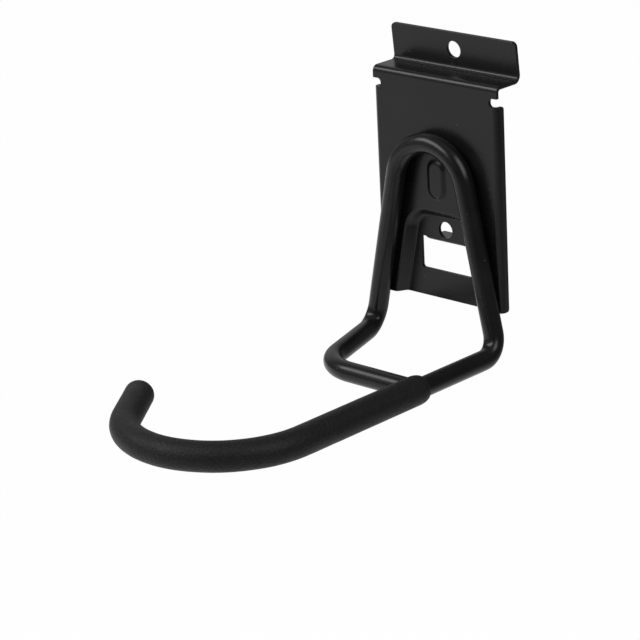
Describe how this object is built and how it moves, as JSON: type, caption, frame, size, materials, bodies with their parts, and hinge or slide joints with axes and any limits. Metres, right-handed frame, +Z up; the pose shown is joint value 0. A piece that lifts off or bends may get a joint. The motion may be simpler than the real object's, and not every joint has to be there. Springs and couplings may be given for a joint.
{
  "type": "garage utility hook",
  "caption": "Wall or slat-panel storage hook: a stepped steel plate with a welded bent-rod frame, whose long arm curls into a flat padded hook end.",
  "frame": {"origin": "centre of the upper screw hole, on the back of the top flange", "axes": "+Z up as mounted, -Y out of the wall along the upper screw hole and the arm, +X to the right as seen facing the wall"},
  "size_m": [0.0971, 0.1793, 0.1307],
  "materials": {
    "black_powder_coat": "satin",
    "black_foam": "matte"
  },
  "bodies": {
    "root": {"wall_plate": "black_powder_coat", "hook_rod": "black_powder_coat", "grip_sleeve": "black_foam"}
  },
  "joints": []
}
